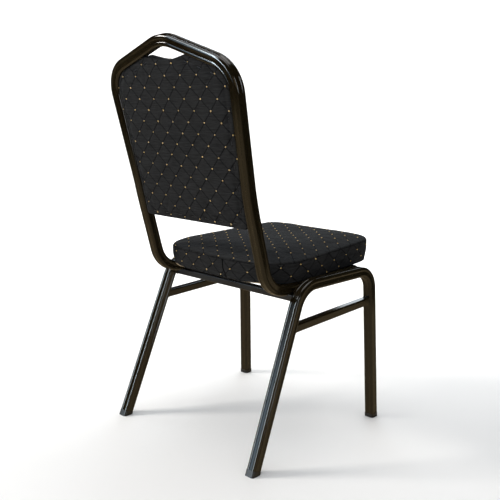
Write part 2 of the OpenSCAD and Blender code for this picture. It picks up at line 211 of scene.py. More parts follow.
def inflate(name, outline, height, cap):
    """The surface of a foam block that a cloth simulation swells by no more than cap, for ray casts.

    The outline, height, cap and surface are in millimetres.
    """
    n = len(outline)
    ring_sets = [(0.0, 0.0), (0.0, height * 0.5), (0.0, height - 5), (1.5, height - 1.5), (5.0, height)]
    normal = outward(outline)
    rings = [np.column_stack([outline - normal * inset, np.full(n, z)]) for inset, z in ring_sets]
    mesh = ring_mesh(name, rings, Matrix.Identity(4), cap_first=True)
    obj = bpy.data.objects.new(name, mesh)
    bpy.context.scene.collection.objects.link(obj)
    remesh = obj.modifiers.new("remesh", "REMESH")
    remesh.mode = "VOXEL"
    remesh.voxel_size = SWELL_VOXEL
    solid = bpy.data.meshes.new_from_object(obj.evaluated_get(bpy.context.evaluated_depsgraph_get()))
    obj.modifiers.clear()
    obj.data = solid
    before = np.array([v.co for v in solid.vertices])
    pins = obj.vertex_groups.new(name="pins")
    pins.add([i for i, p in enumerate(before) if p[2] < PINNED_BELOW_MM * MM], 1.0, "REPLACE")
    cloth = obj.modifiers.new("cloth", "CLOTH")
    settings = cloth.settings
    settings.quality = 6
    settings.mass = 0.3
    settings.tension_stiffness = 18.0
    settings.compression_stiffness = 18.0
    settings.shear_stiffness = 8.0
    settings.bending_stiffness = 2.0
    settings.vertex_group_mass = "pins"
    settings.use_pressure = True
    settings.uniform_pressure_force = SWELL_PRESSURE
    settings.effector_weights.gravity = 0.0
    cloth.collision_settings.use_collision = False
    for f in range(1, SWELL_FRAMES + 1):
        bpy.context.scene.frame_set(f)
    swollen = bpy.data.meshes.new_from_object(obj.evaluated_get(bpy.context.evaluated_depsgraph_get()))
    after = np.array([v.co for v in swollen.vertices])
    bpy.context.scene.frame_set(1)
    move = after - before
    size = np.linalg.norm(move, axis=1, keepdims=True)
    move *= cap * MM * np.tanh(size / (cap * MM)) / np.maximum(size, 1e-9)
    faces = [tuple(p.vertices) for p in solid.polygons]
    tree = BVHTree.FromPolygons([Vector(p) for p in (before + move) / MM], faces)
    bpy.data.objects.remove(obj)
    return tree


def cast_height(tree, x, y, fallback):
    """Height of a swollen surface over (x, y), or fallback beside it."""
    hit = tree.ray_cast(Vector((x, y, 500.0)), Vector((0, 0, -1)))[0]
    return hit.z if hit else fallback


# ---- Materials ------------------------------------------------------------------------------


class Nodes:
    """A short way to write a material's nodes."""

    def __init__(self, name):
        self.material = bpy.data.materials.new(name)
        self.material.use_nodes = True
        self.tree = self.material.node_tree
        self.shader = self.tree.nodes["Principled BSDF"]

    def add(self, kind, **sockets):
        """A node with its sockets and settings filled in."""
        node = self.tree.nodes.new("ShaderNode" + kind)
        for key, value in sockets.items():
            if key in node.inputs:
                self.feed(node.inputs[key], value)
            else:
                setattr(node, key, value)
        return node

    def feed(self, socket, value):
        if isinstance(value, bpy.types.NodeSocket):
            self.tree.links.new(value, socket)
        else:
            socket.default_value = value

    def math(self, operation, a, b=0.0, c=0.0):
        node = self.tree.nodes.new("ShaderNodeMath")
        node.operation = operation
        for i, value in enumerate((a, b, c)):
            self.feed(node.inputs[i], value)
        return node.outputs[0]

    def mix(self, factor, a, b):
        node = self.tree.nodes.new("ShaderNodeMix")
        node.data_type = "RGBA"
        for i, value in ((0, factor), (6, a), (7, b)):
            self.feed(node.inputs[i], value)
        return node.outputs[2]

    def noise(self, scale, detail=3.0, vector=None, roughness=0.5):
        node = self.add("TexNoise", Scale=scale, Detail=detail, Roughness=roughness)
        if vector:
            self.feed(node.inputs["Vector"], vector)
        return node.outputs["Fac"]

    def place(self, scale=(1, 1, 1)):
        """Position on the chair at rest, in metres, stretched by scale."""
        coord = self.add("TexCoord").outputs["Object"]
        return self.add("Mapping", Vector=coord, Scale=scale).outputs["Vector"]

    def ramp(self, value, low, high, to_low=0.0, to_high=1.0):
        node = self.add("MapRange")
        for i, v in enumerate((value, low, high, to_low, to_high)):
            self.feed(node.inputs[i], v)
        return node.outputs[0]

    def bump(self, height, strength, distance):
        return self.add("Bump", Height=height, Strength=strength, Distance=distance).outputs["Normal"]

    def finish(self, **sockets):
        for key, value in sockets.items():
            self.feed(self.shader.inputs[key.replace("_", " ")], value)
        return self.material


def rgb(r, g, b):
    return (r, g, b, 1.0)


def enamel(name, colour, dust, roughness):
    """Gloss enamel over steel: faint orange peel, uneven gloss, dust and a few rubbed spots."""
    m = Nodes(name)
    place = m.place()
    cloud = m.noise(7.0, 4.0, place)
    peel = m.noise(520.0, 2.0, place)
    scuff = m.noise(95.0, 5.0, place, 0.75)
    rubbed = m.ramp(scuff, 0.66, 0.78)
    base = m.mix(m.ramp(cloud, 0.35, 0.7), colour, dust)
    base = m.mix(m.math("MULTIPLY", rubbed, 0.35), base, rgb(0.03, 0.028, 0.025))
    rough = m.math("ADD", m.ramp(cloud, 0.3, 0.7, roughness * 0.75, roughness * 1.3),
                   m.math("MULTIPLY", rubbed, 0.16))
    normal = m.bump(peel, 0.10, 0.0003)
    return m.finish(Base_Color=base, Roughness=rough, Normal=normal)


WEAVE_MM = (48.0, 24.0)     # spacing of the woven dots, along and up the cloth
RIB_MM = 1.5
WEFT_MM = 1.1
SLUB_MM = (34.0, 1.15)      # length and height of the uneven threads
LINE_STEEPNESS = 34.0       # how narrow the lattice's lines are


def upholstery(name, colour, warm, lines, sheen):
    """Ribbed cloth woven with a diamond lattice, with uneven threads, fuzz and slightly wandering lines."""
    m = Nodes(name)
    a, b = WEAVE_MM
    uv = m.add("UVMap", uv_map="lattice").outputs["UV"]
    split = m.add("SeparateXYZ", Vector=uv)
    s, t = split.outputs["X"], split.outputs["Y"]
    place = m.place()
    wander = m.noise(55.0, 2.0, place)
    off = m.math("MULTIPLY", m.math("SUBTRACT", wander, 0.5), 0.03)
    ds = m.math("SUBTRACT", m.math("ADD", s, off), m.math("ROUND", m.math("ADD", s, off)))
    dt = m.math("SUBTRACT", m.math("ADD", t, off), m.math("ROUND", m.math("ADD", t, off)))
    line_a = m.math("ABSOLUTE", m.math("MULTIPLY", ds, LINE_STEEPNESS))
    line_b = m.math("ABSOLUTE", m.math("MULTIPLY", dt, LINE_STEEPNESS))
    near_line = m.math("MINIMUM", line_a, line_b)
    line = m.ramp(near_line, 0.55, 1.6, 1.0, 0.0)
    # Ribs run across the cloth, with the weft crossing them
    across = m.math("MULTIPLY", m.math("SUBTRACT", s, t), b * 2 * math.pi / RIB_MM)
    along = m.math("MULTIPLY", m.math("ADD", s, t), a / 2 * 2 * math.pi / WEFT_MM)
    rib = m.math("MULTIPLY_ADD", m.math("SINE", across), 0.5, 0.5)
    weft = m.math("MULTIPLY_ADD", m.math("SINE", along), 0.5, 0.5)
    weave = m.math("ADD", m.math("MULTIPLY", rib, 0.7), m.math("MULTIPLY", weft, 0.3))
    up_cloth = m.math("MULTIPLY", m.math("SUBTRACT", s, t), b / 2 / SLUB_MM[1])
    along_cloth = m.math("MULTIPLY", m.math("ADD", s, t), a / 2 / SLUB_MM[0])
    streak_place = m.add("CombineXYZ", X=along_cloth, Y=up_cloth).outputs["Vector"]
    slub = m.noise(1.0, 2.0, streak_place, 0.6)
    fuzz = m.noise(1500.0, 2.0, place)
    cloud = m.noise(11.0, 4.0, place)
    base = m.mix(m.ramp(cloud, 0.3, 0.7), colour, warm)
    base = m.mix(m.math("MULTIPLY", weave, 0.35), base, lines)
    base = m.mix(m.ramp(slub, 0.42, 0.75, 0.0, 0.45), base, rgb(0.038, 0.038, 0.040))
    base = m.mix(m.ramp(slub, 0.25, 0.45, 0.5, 0.0), base, lines)
    base = m.mix(m.math("MULTIPLY", line, 0.95), base, lines)
    height = m.math("ADD", m.math("MULTIPLY", weave, 0.5), m.math("MULTIPLY", fuzz, 0.35))
    height = m.math("ADD", height, m.math("MULTIPLY", slub, 0.8))
    height = m.math("SUBTRACT", height, m.math("MULTIPLY", line, 1.3))
    normal = m.bump(height, 0.55, 0.0006)
    rough = m.ramp(fuzz, 0.3, 0.7, 0.78, 0.95)
    return m.finish(Base_Color=base, Roughness=rough, Normal=normal, Sheen_Weight=sheen,
                    Sheen_Roughness=0.35, Sheen_Tint=rgb(0.80, 0.91, 1.0), Specular_IOR_Level=0.05)


def thread(name, colour, shade, gloss=0.5):
    """Twisted thread."""
    m = Nodes(name)
    twist = m.noise(1.0, 2.0, m.place((2600, 2600, 900)))
    base = m.mix(twist, colour, shade)
    return m.finish(Base_Color=base, Roughness=m.ramp(twist, 0.3, 0.7, 0.4, 0.6),
                    Normal=m.bump(twist, 0.5, 0.0003), Specular_IOR_Level=gloss)


def plastic(name, colour):
    """Moulded plastic with a fine spark texture and worn, greyer patches."""
    m = Nodes(name)
    place = m.place()
    wear = m.ramp(m.noise(85.0, 4.0, place, 0.7), 0.5, 0.75)
    base = m.mix(m.math("MULTIPLY", wear, 0.5), colour, rgb(0.03, 0.029, 0.027))
    normal = m.bump(m.noise(1300.0, 2.0, place), 0.35, 0.0003)
    return m.finish(Base_Color=base, Roughness=m.ramp(wear, 0, 1, 0.42, 0.62), Normal=normal)


def wood(name, pale, dark, grain=(14, 240, 240)):
    """Plywood or hardboard, with grain along X and darker plies at the edge."""
    m = Nodes(name)
    streak = m.noise(1.0, 5.0, m.place(grain), 0.65)
    ply = m.math("MULTIPLY_ADD", m.math("SINE", m.math("MULTIPLY", m.add(
        "SeparateXYZ", Vector=m.place()).outputs["Z"], 2 * math.pi / 0.0031)), 0.5, 0.5)
    base = m.mix(m.ramp(streak, 0.35, 0.7), pale, dark)
    base = m.mix(m.math("MULTIPLY", ply, 0.3), base, dark)
    normal = m.bump(streak, 0.4, 0.0004)
    return m.finish(Base_Color=base, Roughness=m.ramp(streak, 0.3, 0.7, 0.6, 0.8), Normal=normal)


def zinc(name, bright, tarnish):
    """Bright zinc plate with a fine brushed grain and dull spots."""
    m = Nodes(name)
    grain = m.noise(1.0, 3.0, m.place((2400, 300, 300)))
    dull = m.noise(140.0, 3.0, m.place())
    base = m.mix(dull, bright, tarnish)
    return m.finish(Base_Color=base, Metallic=1.0, Roughness=m.ramp(dull, 0.3, 0.7, 0.25, 0.5),
                    Normal=m.bump(grain, 0.2, 0.0002))


def felt(name):
    """Black non-woven dust cloth with its pattern of bonded points."""
    m = Nodes(name)
    cells = m.add("TexVoronoi", Vector=m.place(), Scale=420.0).outputs["Distance"]
    hairs = m.noise(1.0, 4.0, m.place((900, 160, 900)), 0.7)
    base = m.mix(hairs, rgb(0.018, 0.018, 0.019), rgb(0.05, 0.05, 0.052))
    base = m.mix(m.ramp(cells, 0.1, 0.3, 0.6, 0.0), base, rgb(0.01, 0.01, 0.01))
    height = m.math("ADD", cells, m.math("MULTIPLY", hairs, 0.6))
    return m.finish(Base_Color=base, Roughness=m.ramp(hairs, 0.3, 0.7, 0.8, 0.95),
                    Normal=m.bump(height, 0.5, 0.0004))


def foam(name):
    """Yellowed foam with small cells."""
    m = Nodes(name)
    cells = m.add("TexVoronoi", Vector=m.place(), Scale=700.0).outputs["Distance"]
    base = m.mix(cells, rgb(0.62, 0.52, 0.30), rgb(0.78, 0.70, 0.46))
    return m.finish(Base_Color=base, Roughness=0.9, Normal=m.bump(cells, 0.6, 0.0005))


# Black enamel whose colour and dust colour are both tinted warm brown: the brown is a painted reflection of
# a warm wooden floor.
TUBE_PAINT_WITH_PAINTED_REFLECTION = enamel("tube_enamel_painted_reflection", rgb(0.0105, 0.0068, 0.0026), rgb(0.0128, 0.0102, 0.0048), 0.11)
BAR_PAINT = enamel("bar_enamel", rgb(0.0060, 0.0056, 0.0075), rgb(0.009, 0.0086, 0.0095), 0.32)
CLOTH = upholstery("lattice_cloth", rgb(0.0156, 0.0155, 0.0156), rgb(0.0192, 0.0187, 0.0182),
                   rgb(0.0022, 0.0022, 0.0024), 0.028)
GOLD_THREAD = thread("gold_thread", rgb(0.80, 0.56, 0.21), rgb(0.52, 0.33, 0.09))
# Black seam thread without gloss; laid in the top seam's groove it is also a painted shadow line under the
# rolled edge.
SEAM_AND_PAINTED_SHADOW_THREAD = thread("seam_and_painted_shadow_thread", rgb(0.003, 0.003, 0.003), rgb(0.001, 0.001, 0.001), 0.0)
BLACK_PLASTIC = plastic("black_plastic", rgb(0.008, 0.008, 0.008))
PLYWOOD = wood("plywood", rgb(0.62, 0.47, 0.28), rgb(0.40, 0.27, 0.14))
HARDBOARD = wood("hardboard", rgb(0.24, 0.14, 0.07), rgb(0.15, 0.085, 0.04), (120, 120, 120))
ZINC = zinc("zinc_plate", rgb(0.62, 0.63, 0.65), rgb(0.42, 0.41, 0.38))
STAPLE_WIRE = zinc("staple_wire", rgb(0.10, 0.10, 0.11), rgb(0.04, 0.04, 0.04))
DUST_CLOTH = felt("dust_cloth")
FOAM = foam("foam")

FINISH = {
    "back_tube": TUBE_PAINT_WITH_PAINTED_REFLECTION, "side_frame_left": TUBE_PAINT_WITH_PAINTED_REFLECTION, "side_frame_right": TUBE_PAINT_WITH_PAINTED_REFLECTION,
    "stretcher_left": TUBE_PAINT_WITH_PAINTED_REFLECTION, "stretcher_right": TUBE_PAINT_WITH_PAINTED_REFLECTION, "back_lugs": TUBE_PAINT_WITH_PAINTED_REFLECTION,
    "rear_crossbar": BAR_PAINT, "front_crossbar": BAR_PAINT, "rail_plugs": BLACK_PLASTIC,
    "foot_front_left": BLACK_PLASTIC, "foot_front_right": BLACK_PLASTIC,
    "foot_rear_left": BLACK_PLASTIC, "foot_rear_right": BLACK_PLASTIC,
    "seat_board": PLYWOOD, "back_board": PLYWOOD, "back_rear_board": HARDBOARD,
    "seat_dust_cover": DUST_CLOTH, "seat_staples": ZINC, "seat_tee_nuts": ZINC,
    "seat_bolts": ZINC, "seat_washers": ZINC, "back_screws": ZINC, "back_staples": STAPLE_WIRE,
    "seat_foam": FOAM, "back_foam": FOAM, "seat_band": CLOTH, "seat_top_cover": CLOTH,
    "back_front_cover": CLOTH, "back_rear_cover": CLOTH,
}
for node, material in FINISH.items():
    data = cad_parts[node].data
    data.materials.clear()
    data.materials.append(material)

# ---- Seat cushion ---------------------------------------------------------------------------
SEAT_COLUMNS = 360
OUTLINE_SAMPLES = 1800
JOIN_X = -38.0          # where the boxing's join seam crosses the rear of the seat
SEAM_DEPTH = (43.0, 8.0)    # height of the top seam at the rear, and what it gains towards the front
# Inset and rise over the seam of each ring in the groove and over the top's rolled edge
SEAM_GROOVE = ((-1.0, -1.2), (-1.3, -0.3), (-0.8, 0.5), (0.5, 0.7), (1.5, 0.1))
TOP_ROLL = ((1.7, 0.9), (0.9, 1.6), (0.8, 2.6), (1.5, 3.8), (3.0, 4.8), (5.2, 5.6), (8.0, 6.3), (11.0, 7.0))
# Each panel's lattice: dot spacing along and up the cloth, the place of one dot, and the turn of its rows
SEAT_TOP_WEAVE = (46.3, 22.8, 32.0, -92.0, math.radians(3.9))
BOXING_RIGHT_WEAVE = (51.4, 22.5, -61.3)
BOXING_LEFT_WEAVE = (46.0, 21.8, 40.0, 36.8)
KNOT_MM = (1.85, 1.6, 0.95)     # half-widths of a gold knot, and its height


def seat_outline():
    """The seat's rounded outline, counter-clockwise from the join seam at its rear."""
    half_d = SEAT["depth"] / 2
    start = math.acos(-(abs(JOIN_X) / (SEAT["half_w"] + SEAT["taper"] * half_d)) ** (SEAT["rear"] / 2))
    points = []
    for i in range(OUTLINE_SAMPLES):
        angle = start + 2 * math.pi * i / OUTLINE_SAMPLES
        c, s = math.cos(angle), math.sin(angle)
        power = 2.0 / (SEAT["rear"] if s > 0 else SEAT["front"])
        y = half_d * math.copysign(abs(s) ** power, s)
        w = SEAT["half_w"] + SEAT["taper"] * y
        points.append((w * math.copysign(abs(c) ** power, c), y - half_d))
    return resample(points, SEAT_COLUMNS)


def join_x(z):
    """Where the boxing's join lies at a height above the seat's underside."""
    return JOIN_X - 8.0 * smooth((30.0 - z) / 32.0)


def seam_and_painted_shadow_thread(name, path, radius, closed):
    """A thin black strand without gloss along a path of points, in metres: a dark seam thread, which along
    the top seam also paints the shadow line under the rolled edge.
    """
    radii = [radius * (1 + 0.25 * noise.noise(p * 260)) for p in path]
    sweep(name, path, radii, 6, closed, SEAM_AND_PAINTED_SHADOW_THREAD)


def make_seat_cushion():
    """The boxed seat cushion: a wrinkled boxing, a sunken seam whose black strand is a painted shadow line
    under the rolled edge, and a domed top that the foam swells.
    """
    outline, length = seat_outline()
    normal = outward(outline)
    band = SEAT["band_h"]
    block = outline - normal * 4.0
    swollen = inflate("seat_foam_swell", block, band, 7.0)
    centre = outline.mean(0)

    from_rear = -outline[:, 1] / SEAT["depth"]
    seam = SEAM_DEPTH[0] + SEAM_DEPTH[1] * from_rear
    beside = np.abs(outline[:, 0])
    ahead = np.abs(outline[:, 1] + SEAT["depth"] / 2)
    corner = smooth((beside - 115) / 50) * smooth((ahead - 125) / 50)
    rear = smooth((outline[:, 1] + 14) / 10)
    lift = 2.6 * bump(beside, 142, 26) * smooth((outline[:, 1] + 60) / 30)      # bares the board's edge
    wobble = 0.35 * ripple(np.column_stack([outline, np.zeros(len(outline))]), 30.0, 3)
    sway = 0.8 * ripple(np.column_stack([outline, np.full(len(outline), 7.0)]), 75.0, 5)

    rings, kinds = [], []

    def ring(inset, z, kind):
        inset = np.broadcast_to(np.asarray(inset, float), (len(outline),))
        z = np.broadcast_to(np.asarray(z, float), (len(outline),))
        inset = np.where(z < 14.0, np.minimum(inset, 3.5), inset)
        rings.append(np.column_stack([outline - normal * inset[:, None], z]))
        kinds.append(kind)

    ring(3.9, 3.0 + lift, "boxing")
    ring(3.4, 0.3 + lift, "boxing")
    steps = 22
    for i in range(1, steps + 1):
        f = i / steps
        z = 0.3 + (seam - 2.4 + sway) * f
        mid = math.sin(math.pi * f)
        soft = ripple(np.column_stack([outline, z * 1.6]), 46.0, 1)
        tight = ripple(np.column_stack([outline, z * 0.5]), 15.0, 2)
        taper = 3.2 - 4.2 * smooth(f * 0.9 + 0.05)
        fold = corner * 0.7 * np.sin(length / 5200 * np.arange(len(outline)) * 9.0) * mid
        inset = taper - 1.1 * mid - 0.7 * soft * mid - 0.35 * tight * mid - fold
        join = bump(outline[:, 0], join_x(float(np.mean(z))), 5.0) * rear
        ring(inset + 1.1 * join, z + lift * (1 - f) ** 2, "boxing")
    edge_z = seam + sway
    for inset, dz in SEAM_GROOVE:
        ring(inset + wobble, edge_z + dz, "boxing")
    for inset, dz in TOP_ROLL:
        ring(inset + wobble, edge_z + dz + 0.5 * wobble, "top")
    groove_at = len(rings) - len(TOP_ROLL) - 1
    # A black strand in the groove under the top's rolled edge: a painted shadow line over the real seam.
    groove = [ON_SEAT @ (Vector(p) * MM) for p in rings[groove_at]]
    seam_and_painted_shadow_thread("seat_seam_painted_shadow", groove, 0.0009, True)
    path = []
    for r in rings[1:groove_at]:
        x = join_x(float(r[:, 2].mean()))
        back = r[np.abs(r[:, 1]) < 40]
        near = back[np.argsort(np.abs(back[:, 0] - x))[:2]]
        w = (x - near[0, 0]) / (near[1, 0] - near[0, 0])
        path.append(ON_SEAT @ (Vector(near[0] + (near[1] - near[0]) * w) * MM))
    seam_and_painted_shadow_thread("boxing_join", path, 0.0011, False)
    edge = rings[-1]
    count_in = 62
    for i in range(1, count_in + 1):
        f = (i / (count_in + 1)) ** 0.92
        xy = centre + (edge[:, :2] - centre) * (1 - f)
        inside = edge_distance(xy, outline) - TOP_ROLL[-1][0]
        z = np.array([cast_height(swollen, x, y, band) for x, y in xy])
        dome = 5.5 * (1 - np.exp(-np.maximum(inside, 0) / 16.0))
        rise = dome + np.clip(z - band, 0.0, 7.0) * smooth(inside / 70)
        level = SEAM_DEPTH[0] - SEAM_DEPTH[1] * xy[:, 1] / SEAT["depth"] + TOP_ROLL[-1][1]
        base = edge[:, 2] + (level - edge[:, 2]) * smooth(f * 3)
        soft = ripple(np.column_stack([xy, np.zeros(len(xy))]), 70.0, 4)
        rings.append(np.column_stack([xy, base + rise + 0.9 * soft * smooth(inside / 30)]))
        kinds.append("top")

    count = len(outline)

    def lattice(i, k, mid):
        if kinds[i] == "top":
            x, y = (centre if k is None else rings[i][k % count][:2])
            return lattice_uv(x, y, *SEAT_TOP_WEAVE)
        z = rings[i][k % count][2]
        if mid < count / 2:
            s = JOIN_X - k * length / count
            row = 24.0 - 9.0 * smooth((-s - 110) / 90) + 22.0 * max(0.0, (-s - 200) / 270)
            return lattice_uv(s, z, *BOXING_RIGHT_WEAVE, row)
        s = JOIN_X + (count - k) * length / count
        return lattice_uv(s, z + 9.0 * smooth((45.0 - s) / 55), *BOXING_LEFT_WEAVE)

    mesh = ring_mesh("seat_cushion", rings, ON_SEAT, lattice)
    cushion = new_object("seat_cushion", mesh, CLOTH)
    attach(cushion, "root")
    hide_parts("seat_foam", "seat_band", "seat_top_cover")
    knots("seat_knots", cushion)


def knots(name, cloth):
    """Little raised knots of gold thread at the crossings of a piece's lattice."""
    mesh = cloth.data
    uv = mesh.uv_layers["lattice"].data
    places = {}
    for poly in mesh.polygons:
        corner = [uv[i].uv.copy() for i in poly.loop_indices]
        at = [mesh.vertices[i].co for i in poly.vertices]
        low = [min(c[j] for c in corner) for j in (0, 1)]
        high = [max(c[j] for c in corner) for j in (0, 1)]
        if high[0] - low[0] > 1 or high[1] - low[1] > 1:
            continue
        for s in range(math.ceil(low[0]), math.floor(high[0]) + 1):
            for t in range(math.ceil(low[1]), math.floor(high[1]) + 1):
                for k in range(1, len(at) - 1):
                    ids = (0, k, k + 1)
                    a, b, c = (corner[i] for i in ids)
                    area = (b - a).cross(c - a)
                    if abs(area) < 1e-12:
                        continue
                    p = Vector((s, t))
                    spans = ((b, c), (c, a), (a, b))
                    w = [(end - start).cross(p - start) / area for start, end in spans]
                    if min(w) >= -1e-6:
                        point = sum((at[i] * x for i, x in zip(ids, w)), Vector())
                        across = at[ids[1]] - at[ids[0]]
                        key = (s, t, round(point.z, 2))
                        places.setdefault(key, (point, poly.normal.copy(), across.copy()))
                        break
    verts, faces = [], []
    sides, layers = 7, 3
    rng = np.random.default_rng(len(places))
    for point, normal, across in places.values():
        along = (across - normal * across.dot(normal)).normalized()
        other = normal.cross(along)
        half = [x * MM * (1 + 0.12 * rng.standard_normal()) for x in KNOT_MM]
        first = len(verts)
        for j in range(layers):
            tilt = math.pi / 2 * j / layers
            for i in range(sides):
                a = 2 * math.pi * i / sides + 0.4 * rng.standard_normal() / sides
                out = along * math.cos(a) * half[0] + other * math.sin(a) * half[1]
                up = normal * (math.sin(tilt) * half[2] - 0.15 * MM)
                verts.append(point + math.cos(tilt) * out + up)
        verts.append(point + normal * half[2])
        for j in range(layers - 1):
            for i in range(sides):
                i1 = (i + 1) % sides
                faces.append((first + j * sides + i, first + j * sides + i1,
                              first + (j + 1) * sides + i1, first + (j + 1) * sides + i))
        top = first + (layers - 1) * sides
        for i in range(sides):
            faces.append((top + i, top + (i + 1) % sides, first + layers * sides))
    dots = bpy.data.meshes.new(name)
    dots.from_pydata(verts, [], faces)
    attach(new_object(name, dots, GOLD_THREAD), "root")


# ---- Back upholstery ------------------------------------------------------------------------
BACK_COLUMNS = 420
SHOULDER_V = (BACK["shoulder_z"] - BACK["kink_z"]) / math.cos(BACK_LEAN)
KINK = math.atan((BACK["shoulder_x"] - BACK["half_w"]) / SHOULDER_V)
BACK_CENTRE = np.array([0.0, 95.0])
REAR_WEAVE = (48.9, 24.4, 3.5, 195.8)
FRONT_WEAVE = (48.9, 24.0, 4.0, 92.0)
STAPLE_INSET = 12.0
# Inset and depth of each ring over the rolled edges
REAR_ROLL = ((0.6, 1.2), (0.2, 3.0), (0.1, 5.0), (0.3, 6.4))
FRONT_ROLL = ((1.4, -6.0), (0.6, -3.5), (0.4, 0.0), (0.2, 4.0), (0.0, 8.0), (0.4, 11.0), (1.6, 13.8),
              (3.6, 15.8), (6.2, 17.1), (9.0, 17.8))


def arc(cx, cy, r, a0, a1, steps):
    """Points of an arc round (cx, cy), from angle a0 to a1."""
    return [(cx + r * math.cos(a0 + (a1 - a0) * i / steps), cy + r * math.sin(a0 + (a1 - a0) * i / steps))
            for i in range(steps + 1)]


def panel_outline(inset):
    """Outline of the back panel in the plane of the back, counter-clockwise from its lowest middle."""
    slope = BACK["crown_slope"]
    side = BACK["half_w"] - TUBE / 2 - inset
    corner = 10.0
    turn = math.pi / 2 + KINK - slope
    start_v = SHOULDER_V - BACK["shoulder_r"] * math.tan(turn / 2) * math.cos(KINK)
    centre_x = BACK["half_w"] + start_v * math.tan(KINK) - BACK["shoulder_r"] * math.cos(KINK)
    centre_v = start_v + BACK["shoulder_r"] * math.sin(KINK)
    hole_v = (SHOULDER_V + (BACK["shoulder_x"] - BACK["hole_half_w"]) * math.tan(slope)
              - (TUBE / 2 + inset) / math.cos(slope))
    soft = 20.0
    k = BACK["hole_dip"] / (math.hypot(BACK["hole_half_w"], soft) - soft)
    half = arc(side - corner, BACK["low"] + inset + corner, corner, -math.pi / 2, 0, 12)
    half.append((side, 0.0))
    half += arc(centre_x, centre_v, BACK["shoulder_r"] - TUBE / 2 - inset, -KINK, math.pi / 2 - slope, 40)
    half += [(x, hole_v - BACK["hole_dip"] + k * (math.hypot(x, soft) - soft))
             for x in np.linspace(BACK["hole_half_w"], 0.0, 24, endpoint=False)]
    whole = half + [(-x, v) for x, v in reversed(half)]
    return resample([(0.0, BACK["low"] + inset)] + whole, BACK_COLUMNS)[0]


def staple_places():
    """Middles of the staples round the rear cover, with the direction that points into the panel."""
    slope = BACK["crown_slope"]
    places = [((x, BACK["low"] + STAPLE_INSET), (0.0, 1.0)) for x in range(-132, 133, 44)]
    for side in (-1, 1):
        for v in range(-40, 191, 48):
            x = BACK["half_w"] + max(0, v) * math.tan(KINK) - TUBE / 2 - STAPLE_INSET
            places.append(((side * x, float(v)), (-side, 0.0)))
        for x in range(66, 151, 36):
            v = SHOULDER_V + (BACK["shoulder_x"] - x) * math.tan(slope) - 28.0
            places.append(((side * x, v), (-side * math.sin(slope), -math.cos(slope))))
    return places


def puckers(points, distance):
    """How far the rear cover stands off its board: pulled in at each staple, with folds running inwards."""
    rise = 5.2 * (1 - np.exp(-distance / 12.0))
    top = smooth((points[:, 1] - 205) / 40)
    row = 1.0 * bump(distance, STAPLE_INSET, 4.0) * (1 + 0.9 * top)
    pull = np.zeros(len(points))
    for i, ((x, v), inward) in enumerate(staple_places()):
        d = points - (x, v)
        inn = d @ np.array(inward)
        side = d @ np.array((-inward[1], inward[0]))
        pull += 2.6 * np.exp(-(inn / 5.5) ** 2 - (side / 8.0) ** 2)
        for j, lean in enumerate((-0.75, -0.2, 0.5)):
            reach = 20.0 + 8.0 * math.sin(i * 2.1 + j * 1.7)
            across = side - lean * inn
            width = 2.4 + 0.08 * np.maximum(inn, 0)
            fold = bump(across, 0.0, width) * bump(inn, reach * 0.45, reach) * smooth((inn + 7) / 6)
            pull += 0.95 * fold * (1 + 0.5 * math.sin(i * 1.3 + j))
    return np.maximum(rise - row - pull, 0.45)


def make_rear_cover():
    """The cover on the rear of the back: thin padding under cloth, stapled all round."""
    outline = panel_outline(0.3)
    centre = BACK_CENTRE
    face = 7.0
    rings = []
    normal = outward(outline)
    count = len(outline)
    for inset, y in REAR_ROLL:
        rings.append(np.column_stack([outline - normal * inset, np.full(count, y)]))
    steps = 96
    for i in range(steps + 1):
        f = (i / (steps + 1)) ** 0.9
        xy = centre + (outline - normal * 0.9 - centre) * (1 - f)
        distance = edge_distance(xy, outline)
        lump = ripple(np.column_stack([xy, np.full(count, 3.0)]), 60.0, 6) * 0.45
        fine = ripple(np.column_stack([xy, np.full(count, 9.0)]), 14.0, 7) * 0.16
        y = face + puckers(xy, distance) + (lump + fine) * smooth(distance / 10)
        rings.append(np.column_stack([xy, y]))
    flat = [np.column_stack([r[:, 0], r[:, 2], r[:, 1]]) for r in rings]

    def lattice(i, k, mid):
        x, v = (centre if k is None else flat[i][k % count][[0, 2]])
        return lattice_uv(x, v, *REAR_WEAVE)

    mesh = ring_mesh("back_rear_panel", flat, ON_BACK, lattice)
    mesh.flip_normals()
    panel = new_object("back_rear_panel", mesh, CLOTH)
    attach(panel, "root")
    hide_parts("back_rear_cover")
    knots("back_rear_knots", panel)


